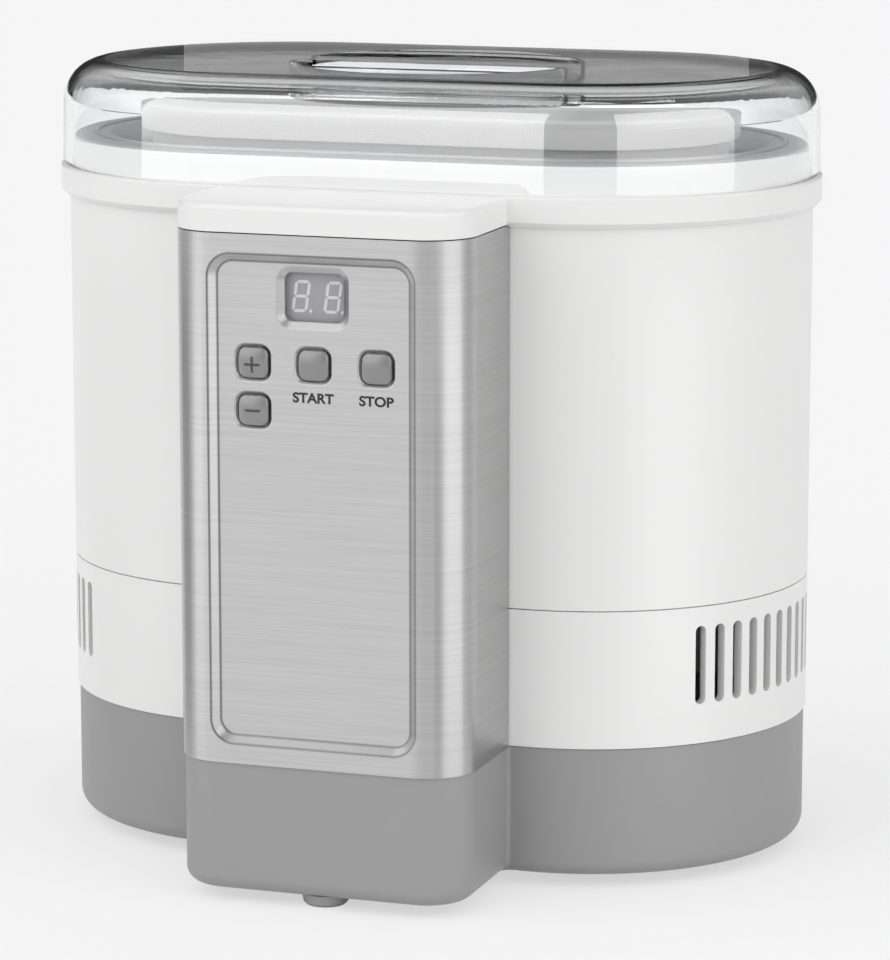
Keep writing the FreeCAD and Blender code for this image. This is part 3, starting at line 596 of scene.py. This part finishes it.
def closed_slab(front: np.ndarray, back: np.ndarray) -> tuple[np.ndarray, np.ndarray]:
    """Join two grids of points into a closed slab.

    Front and back are the same function of two parameters at two depths, and the wall joins their
    borders, walked once round.

    Args:
        front: Points of shape (rows, columns, 3), seen with rows to the right and columns upwards.
        back: Points of the same shape behind them.

    Returns:
        Vertices (n, 3) and quads (m, 4).
    """
    rows, columns = front.shape[:2]
    index = np.arange(rows * columns).reshape(rows, columns)
    corner, right, diagonal, up = index[:-1, :-1], index[1:, :-1], index[1:, 1:], index[:-1, 1:]
    face = np.stack([corner, right, diagonal, up], -1).reshape(-1, 4)
    behind = face[:, ::-1] + rows * columns
    rim = np.concatenate([index[:, 0], index[-1, 1:], index[-2::-1, -1], index[0, -2:0:-1]])
    ahead = np.roll(rim, -1)
    wall = np.stack([rim, rim + rows * columns, ahead + rows * columns, ahead], -1)
    return np.concatenate([front.reshape(-1, 3), back.reshape(-1, 3)]), np.concatenate([face, behind, wall])


def joined_slabs(slabs: Sequence[tuple[np.ndarray, np.ndarray]]) -> tuple[np.ndarray, np.ndarray]:
    """Put several slabs into one pair of vertices and quads.

    Args:
        slabs: Vertices and quads of each slab.

    Returns:
        All vertices, and all quads counted on from the slabs before them.
    """
    starts = np.cumsum([0] + [len(points) for points, _ in slabs[:-1]])
    points = np.concatenate([points for points, _ in slabs])
    return points, np.concatenate([quads + start for (_, quads), start in zip(slabs, starts)])


@dataclass
class Piece:
    """A new mesh of the object: where it rides and what it is made of."""

    name: str
    body: str
    finish: Finish
    slot: Slot

    def add(self, mesh: bpy.types.Mesh) -> bpy.types.Object:
        """Put a finished mesh into the scene.

        Args:
            mesh: The mesh, in place.

        Returns:
            The new object, riding on its body.
        """
        mesh.materials.clear()
        mesh.materials.append(self.finish.material())
        made = bpy.data.objects.new(self.name, mesh)
        bpy.context.scene.collection.objects.link(made)
        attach(made, self.body)
        LOG.info("piece %s: %d faces", self.name, len(mesh.polygons))
        return made

    def add_quads(self, points: np.ndarray, quads: np.ndarray) -> bpy.types.Object:
        """Make a mesh of points and quads and put it into the scene.

        Args:
            points: Vertices (n, 3), in place.
            quads: Corners of each face (m, 4).

        Returns:
            The new object, riding on its body.
        """
        mesh = bpy.data.meshes.new(self.name)
        mesh.from_pydata(points, [], quads)
        mesh.update()
        return self.add(mesh)


@dataclass
class ButtonMark:
    """A plus or minus sign that lies on a button's dome."""

    button: str
    upright: bool
    length: float = 5.2 * MM
    width: float = 0.85 * MM
    raised: float = 0.03 * MM
    sunk: float = 0.12 * MM
    dome: float = 18 * MM
    drop: float = 0.0
    grid: int = 13

    def stroke(self, half_x: float, half_z: float) -> tuple[np.ndarray, np.ndarray]:
        """One stroke as a slab on the dome: depth is the dome's sagitta at each point.

        Args:
            half_x: Half of the stroke's width across.
            half_z: Half of its height.

        Returns:
            Vertices and quads, in place.
        """
        low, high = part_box(self.button)
        steps = np.linspace(-1, 1, self.grid)
        x, z = np.meshgrid(half_x * steps, half_z * steps - self.drop, indexing="ij")
        sagitta = self.dome - np.sqrt(self.dome ** 2 - x ** 2 - z ** 2)
        middle = (low + high) / 2
        front = np.stack([middle.x + x, low.y + sagitta - self.raised, middle.z + z], -1)
        return closed_slab(front, front + (0, self.raised + self.sunk, 0))

    def build(self) -> None:
        """Make the sign from one level stroke and, for a plus, an upright one across it."""
        half, thin = self.length / 2, self.width / 2
        slabs = [self.stroke(half, thin)]
        if self.upright:
            slabs.append(self.stroke(thin, half))
        piece = Piece(self.button.replace("button", "mark"), self.button, MARK, Slot.BUTTON)
        piece.add_quads(*joined_slabs(slabs))


@dataclass
class Lettering:
    """A word printed flat on the stamped panel.

    Weight swells the letters by a share of the type's size, and sunk is the share of the ink that
    lies below the steel.
    """

    word: str
    middle_x: float
    middle_z: float
    width: float
    panel_y: float
    height: float = 3.4 * MM
    ink: float = 0.02 * MM
    sunk: float = 0.1
    weight: float = 0.035

    def build(self) -> None:
        """Turn the word into a thin mesh, scale it to its size and stand it on the panel.

        The text's x goes to X, its y to Z and its height off the page to -Y.
        """
        half_page = 0.5
        curve = bpy.data.curves.new(self.word, "FONT")
        curve.body = self.word
        curve.extrude = half_page
        curve.offset = self.weight
        source = bpy.data.objects.new(self.word, curve)
        bpy.context.scene.collection.objects.link(source)
        bpy.context.view_layer.update()
        mesh = bpy.data.meshes.new_from_object(source.evaluated_get(bpy.context.evaluated_depsgraph_get()))
        bpy.data.objects.remove(source)
        flat = np.empty(len(mesh.vertices) * 3)
        mesh.vertices.foreach_get("co", flat)
        x, y, rise = flat.reshape(-1, 3).T
        placed = np.stack([self.middle_x + self.width / np.ptp(x) * (x - (x.max() + x.min()) / 2),
                           self.panel_y - self.ink * (rise + half_page - self.sunk),
                           self.middle_z + self.height / np.ptp(y) * (y - (y.max() + y.min()) / 2)], -1)
        mesh.vertices.foreach_set("co", placed.ravel())
        mesh.update()
        Piece(f"{self.word.lower()}_word", "housing", INK, Slot.STEEL).add(mesh)


@dataclass
class Digit:
    """One figure of the display: seven slanted segments and a point."""

    name: str
    middle_x: float
    middle_z: float
    face_y: float
    height: float = 10.4 * MM
    width: float = 5.4 * MM
    stroke: float = 1.0 * MM
    gap: float = 0.2 * MM
    slant: float = math.radians(8)
    raised: float = 0.12 * MM
    tip: float = 0.12
    point_out: float = 1.1 * MM
    point_half: float = 0.85 * MM

    def bar(self, start: Span, stop: Span) -> tuple[np.ndarray, np.ndarray]:
        """One segment with pointed ends, from a grid of its length and width.

        Half the width is the stroke's half, and falls to the tip's share of it at both ends.

        Args:
            start: Middle of one end, across and up from the digit's middle.
            stop: Middle of the other end.

        Returns:
            Vertices and quads, in place.
        """
        begin, end = np.array(start), np.array(stop)
        length = float(np.linalg.norm(end - begin))
        along = (end - begin) / length
        side = np.array([-along[1], along[0]])
        point = self.gap + self.stroke / 2
        reach = np.array([self.gap, point, length - point, length - self.gap])
        half = self.stroke / 2 * np.array([self.tip, 1, 1, self.tip])
        sides = np.linspace(-1, 1, 3)
        flat = begin + reach[:, None, None] * along + sides[:, None] * half[:, None, None] * side
        across, up = flat[..., 0], flat[..., 1]
        front = np.stack([self.middle_x + across + math.tan(self.slant) * up,
                          np.full_like(up, self.face_y - self.raised), self.middle_z + up], -1)
        return closed_slab(front, front + (0, 2 * self.raised, 0))

    def build(self) -> None:
        """Set out the seven bars on the figure's two squares and the point at its foot."""
        out, up = (self.width - self.stroke) / 2, (self.height - self.stroke) / 2
        ends = [((-out, level), (out, level)) for level in (-up, 0.0, up)]
        ends += [((side, low), (side, low + up)) for side in (-out, out) for low in (-up, 0.0)]
        dot = self.width / 2 + self.point_out
        ends.append(((dot, -up - self.point_half), (dot, -up + self.point_half)))
        piece = Piece(self.name, "housing", SEGMENT, Slot.LED)
        piece.add_quads(*joined_slabs([self.bar(*pair) for pair in ends]))


@dataclass
class SubAssembly:
    """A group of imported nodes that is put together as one, with the slot of each."""

    nodes: Mapping[str, Slot] = field(default_factory=dict)

    def build(self) -> None:
        """Make the group's own new meshes, which most groups have none of."""

    def dress(self) -> None:
        """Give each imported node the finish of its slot."""
        for name, slot in self.nodes.items():
            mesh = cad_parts[name].data
            mesh.materials.clear()
            mesh.materials.append(FINISHES[slot].material())
            LOG.info("dressed %s as %s", name, slot.value)


@dataclass
class ControlColumn(SubAssembly):
    """Steel column: its display figures, the button signs and the two printed words."""

    digit_pitch: float = 10.8 * MM
    plus_drop: float = 0.6 * MM
    panel_depth: float = 2.7 * MM
    word_drop: float = 4.5 * MM
    start_width: float = 14.0 * MM
    stop_width: float = 11.7 * MM
    nodes: Mapping[str, Slot] = field(default_factory=lambda: {
        "column_cladding": Slot.STEEL, "column_frame": Slot.DARK, "display_lens": Slot.LENS,
        "led_display": Slot.LED, "plus_button": Slot.BUTTON, "minus_button": Slot.BUTTON,
        "start_button": Slot.BUTTON, "stop_button": Slot.BUTTON, "control_board": Slot.BOARD,
        "board_screws": Slot.SCREW, "tact_switches": Slot.DARK, "power_board": Slot.BOARD,
        "power_transformer": Slot.DARK, "power_capacitors": Slot.CAN, "ribbon_cable": Slot.RIBBON})

    def build(self) -> None:
        """Make the display's figures, the signs and the words."""
        low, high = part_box("led_display")
        for name, side in (("left_digit", -0.5), ("right_digit", 0.5)):
            Digit(name, side * self.digit_pitch, (low.z + high.z) / 2, low.y).build()
        ButtonMark("plus_button", upright=True, drop=self.plus_drop).build()
        ButtonMark("minus_button", upright=False).build()
        panel_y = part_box("column_cladding")[0].y + self.panel_depth
        for word, button, width in (("START", "start_button", self.start_width),
                                    ("STOP", "stop_button", self.stop_width)):
            low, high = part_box(button)
            Lettering(word, (low.x + high.x) / 2, low.z - self.word_drop, width, panel_y).build()


@dataclass
class Body(SubAssembly):
    """White walls on the grey base, with rim, feet and the inlet for the lead."""

    nodes: Mapping[str, Slot] = field(default_factory=lambda: {
        "base_tray": Slot.GREY, "feet": Slot.RUBBER, "base_screws": Slot.SCREW, "vent_band": Slot.WHITE,
        "upper_shell": Slot.WHITE, "top_rim": Slot.WHITE, "cord_grommet": Slot.RUBBER})


@dataclass
class Well(SubAssembly):
    """Metal tub with its heater and foam, the container in it and the two lids."""

    nodes: Mapping[str, Slot] = field(default_factory=lambda: {
        "well_liner": Slot.TUB, "heater_band": Slot.HEATER, "insulation": Slot.FOAM,
        "temperature_sensor": Slot.DARK, "yogurt_container": Slot.POT, "container_lid": Slot.POT,
        "outer_lid": Slot.CLEAR})


@dataclass
class Cooling(SubAssembly):
    """Cold block, thermoelectric module, heat sink and fan."""

    nodes: Mapping[str, Slot] = field(default_factory=lambda: {
        "cold_block": Slot.ALUMINIUM, "thermoelectric_module": Slot.CERAMIC, "heat_sink": Slot.ALUMINIUM,
        "clamp_screws": Slot.SCREW, "fan_frame": Slot.DARK, "fan_stator": Slot.DARK, "fan_rotor": Slot.DARK,
        "fan_screws": Slot.SCREW})


@dataclass
class Card:
    """A glowing card that only mirror rays see, as photographers set round an object.

    Its edge is a broken line of points in metres, and it reaches from there along one vector.
    Its level grows by a gain from the first to the second height of its turn.
    """

    name: str
    level: float
    edge: Sequence[Point]
    reach: Point
    only: Sequence[str] = ()
    gain: float = 0.0
    turn: Span = (0.217, 0.229)

    def glow(self, graph: Graph) -> bpy.types.NodeSocket:
        """The card's light, over clear air where the card is meant for some nodes only.

        Args:
            graph: Node tree of the card's material.

        Returns:
            Output of the shader.
        """
        _, _, z = graph.axes(graph.place())
        light = graph.shader("Emission", {0: self.level * (1 + self.gain * graph.step(z, *self.turn))})
        if not self.only:
            return light
        return graph.shader("AddShader", {0: light, 1: graph.shader("BsdfTransparent")})

    def mesh(self) -> bpy.types.Mesh:
        """One quad for each stretch of the edge: its two ends and the same two moved by the reach.

        Returns:
            The mesh with its glowing material.
        """
        line = np.array(self.edge)
        start = np.arange(len(line) - 1)
        quads = np.stack([start, start + 1, start + 1 + len(line), start + len(line)], -1)
        mesh = bpy.data.meshes.new(self.name)
        mesh.from_pydata(np.concatenate([line, line + np.array(self.reach)]), [], quads)
        material = bpy.data.materials.new(self.name)
        material.use_nodes = True
        graph = Graph(material.node_tree)
        graph.finish(self.glow(graph))
        mesh.materials.append(material)
        return mesh

    def build(self) -> None:
        """Set the card up, hidden from all but mirror rays, and lit for its own nodes if it names any."""
        made = bpy.data.objects.new(self.name, self.mesh())
        made.visible_camera = made.visible_diffuse = made.visible_transmission = False
        made.visible_shadow = made.visible_volume_scatter = False
        bpy.context.scene.collection.objects.link(made)
        if self.only:
            group = bpy.data.collections.new(self.name)
            for node in self.only:
                group.objects.link(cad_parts[node])
            made.light_linking.receiver_collection = group


COVER = ("outer_lid",)
LAMP_LEVEL = 8.0
STRIP_GAIN = 1.25
STRIP_FOOT = 0.15
STRIP: Point = (0, 0, 0.3)
FLOOR = 0.0
UPRIGHT: Point = (0, 0, 0.178)


def standing(foot: float, *plan: Span) -> list[Point]:
    """Lower edge of an upright card: the points of its plan at the height of its foot."""
    return [(x, y, foot) for x, y in plan]


def lamp_pair(side: str, edge: Sequence[Point], reach: Point, step: Point) -> list[Card]:
    """Two small lamps of one form that light the cover alone.

    Args:
        side: Side of the object that they stand on, for their names.
        edge: Edge of the lower lamp.
        reach: Vector from the edge of a lamp to its other edge.
        step: Vector from the lower lamp to the higher one.

    Returns:
        The lower and the higher lamp.
    """
    higher = [(x + step[0], y + step[1], z + step[2]) for x, y, z in edge]
    return [Card(f"{side}_lamp_low", LAMP_LEVEL, edge, reach, COVER),
            Card(f"{side}_lamp_high", LAMP_LEVEL, higher, reach, COVER)]


CARDS = (
    Card("left_strip", 2.4, standing(STRIP_FOOT, (-0.296, -0.182), (-0.225, -0.248), (-0.14, -0.29),
                                     (0.033, -0.301)), STRIP, COVER, STRIP_GAIN),
    Card("right_strip", 2.0, standing(STRIP_FOOT, (0.208, -0.266), (0.3, -0.16), (0.38, -0.01)), STRIP,
         COVER, STRIP_GAIN),
    *lamp_pair("left", [(-0.287, -0.385, 0.814), (-0.237, -0.385, 0.814)],
               reach=(0.039, 0.046, 0.034), step=(0, 0.106, 0.078)),
    *lamp_pair("right", [(0.195, -0.399, 0.845), (0.402, -0.301, 0.835), (0.551, -0.118, 0.787)],
               reach=(-0.049, 0.039, 0.031), step=(-0.113, 0.088, 0.071)),
    Card("right_flag", 0.48, standing(FLOOR, (0.163, -0.283), (0.214, -0.236)), UPRIGHT),
    Card("right_glow", 1.5, standing(FLOOR, (0.232, -0.209), (0.26, -0.135), (0.262, -0.054)), UPRIGHT),
    Card("left_flag", 0.5, standing(FLOOR, (-0.246, -0.114), (-0.221, 0.01)), UPRIGHT),
    Card("left_glow", 1.35, standing(FLOOR, (-0.257, -0.163), (-0.201, -0.253)), UPRIGHT),
    Card("back_panel", 0.24, standing(FLOOR, (-0.698, 1.5), (-0.28, 1.5)), reach=(0, 0, 0.75)),
    Card("roof", 0.06, [(-0.45, 3.0, 0.9), (0.45, 3.0, 0.9)], reach=(0, -3.216, 0)),
)


@dataclass
class Studio:
    """Pale floor, soft sky, reflecting cards and the camera."""

    azimuth: float = math.radians(18.81)
    elevation: float = math.radians(10.58)
    distance: float = 1.4973
    aim_right: float = 2.55 * MM
    aim: Vector = field(default_factory=lambda: Vector((0, 0.0235, 0.1208)))
    focal_pixels: float = 4312.8
    frame_height: int = 960
    sensor: float = 36.0
    sight: float = 100.0
    floor_half: float = 30.0
    floor_seen: float = 0.97
    floor_lit: float = 0.85
    floor_glow: float = 0.965
    floor_lift: float = 0.6
    sky_level: float = 0.62
    dusk_level: float = 0.03
    dusk_behind: Span = (-0.15, 0.45)
    dusk_top: Span = (0.15, 0.5)
    key_level: float = 0.95
    key_side: Point = (-0.553, -0.653, 0.518)
    fill_level: float = 1.0
    fill_side: Point = (0.9, -0.3, 0.316)
    lamp_edge: Span = (0.7, 0.93)

    def camera(self) -> None:
        """Stand the camera at the photograph's angle, looking straight at the aim."""
        azimuth, elevation = self.azimuth, self.elevation
        back = Vector((math.sin(azimuth) * math.cos(elevation), -math.cos(azimuth) * math.cos(elevation),
                       math.sin(elevation)))
        right = Vector((math.cos(azimuth), math.sin(azimuth), 0))
        data = bpy.data.cameras.new("camera")
        data.sensor_width = self.sensor
        data.lens = self.focal_pixels * self.sensor / self.frame_height
        data.clip_end = self.sight
        made = bpy.data.objects.new("camera", data)
        made.location = self.aim + right * self.aim_right + back * self.distance
        made.rotation_mode = "QUATERNION"
        made.rotation_quaternion = (-back).to_track_quat("-Z", "Y")
        bpy.context.scene.collection.objects.link(made)
        bpy.context.scene.camera = made

    def floor(self) -> None:
        """Lay a plain floor that rays which look at it see paler, with the shadow still on it."""
        half = self.floor_half
        mesh = bpy.data.meshes.new("floor")
        corners = [(-half, -half, 0), (half, -half, 0), (half, half, 0), (-half, half, 0)]
        mesh.from_pydata(corners, [], [(0, 1, 2, 3)])
        material = bpy.data.materials.new("floor")
        material.use_nodes = True
        graph = Graph(material.node_tree)
        path = graph.node("ShaderNodeLightPath").outputs
        seen = Value(graph, path["Is Camera Ray"]) + Value(graph, path["Is Glossy Ray"])
        seen = seen + Value(graph, path["Is Transmission Ray"])
        tone = graph.blend(seen, (self.floor_lit,) * 3, (self.floor_seen,) * 3)
        matt = graph.shader("BsdfDiffuse", {"Color": tone})
        glow = graph.shader("Emission", {0: (self.floor_glow,) * 3 + (1,)})
        graph.finish(graph.shader("MixShader", {0: self.floor_lift * seen, 1: matt, 2: glow}))
        mesh.materials.append(material)
        made = bpy.data.objects.new("floor", mesh)
        bpy.context.scene.collection.objects.link(made)

    def sky(self) -> None:
        """Light everything softly: key at the front left, fill at the right, dusk behind."""
        world = bpy.data.worlds.new("studio")
        world.use_nodes = True
        graph = Graph(world.node_tree)
        direction = graph.node("ShaderNodeTexCoord").outputs["Generated"]
        _, y, z = graph.axes(direction)
        dusk = graph.step(y, *self.dusk_behind) * (1 - graph.step(z, *self.dusk_top))
        level = self.sky_level - (self.sky_level - self.dusk_level) * dusk
        for side, strength in ((self.key_side, self.key_level), (self.fill_side, self.fill_level)):
            facing = graph.node("ShaderNodeVectorMath", {"operation": "DOT_PRODUCT"},
                                {0: direction, 1: side})
            level = level + strength * graph.step(Value(graph, facing.outputs["Value"]), *self.lamp_edge)
        background = graph.node("ShaderNodeBackground", {}, {"Color": level})
        graph.node("ShaderNodeOutputWorld", {}, {0: background.outputs[0]})
        bpy.context.scene.world = world

    def build(self) -> None:
        """Set up the view and build floor, cards, sky and camera."""
        bpy.context.scene.view_settings.view_transform = "Standard"
        self.floor()
        for card in CARDS:
            card.build()
        self.sky()
        self.camera()


def main() -> None:
    """Build and dress every sub-assembly and set the stage."""
    logging.basicConfig(level=logging.INFO, format="%(message)s")
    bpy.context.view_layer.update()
    for assembly in (Body(), Well(), Cooling(), ControlColumn()):
        assembly.build()
        assembly.dress()
    Studio().build()


if __name__ == "__main__":
    main()
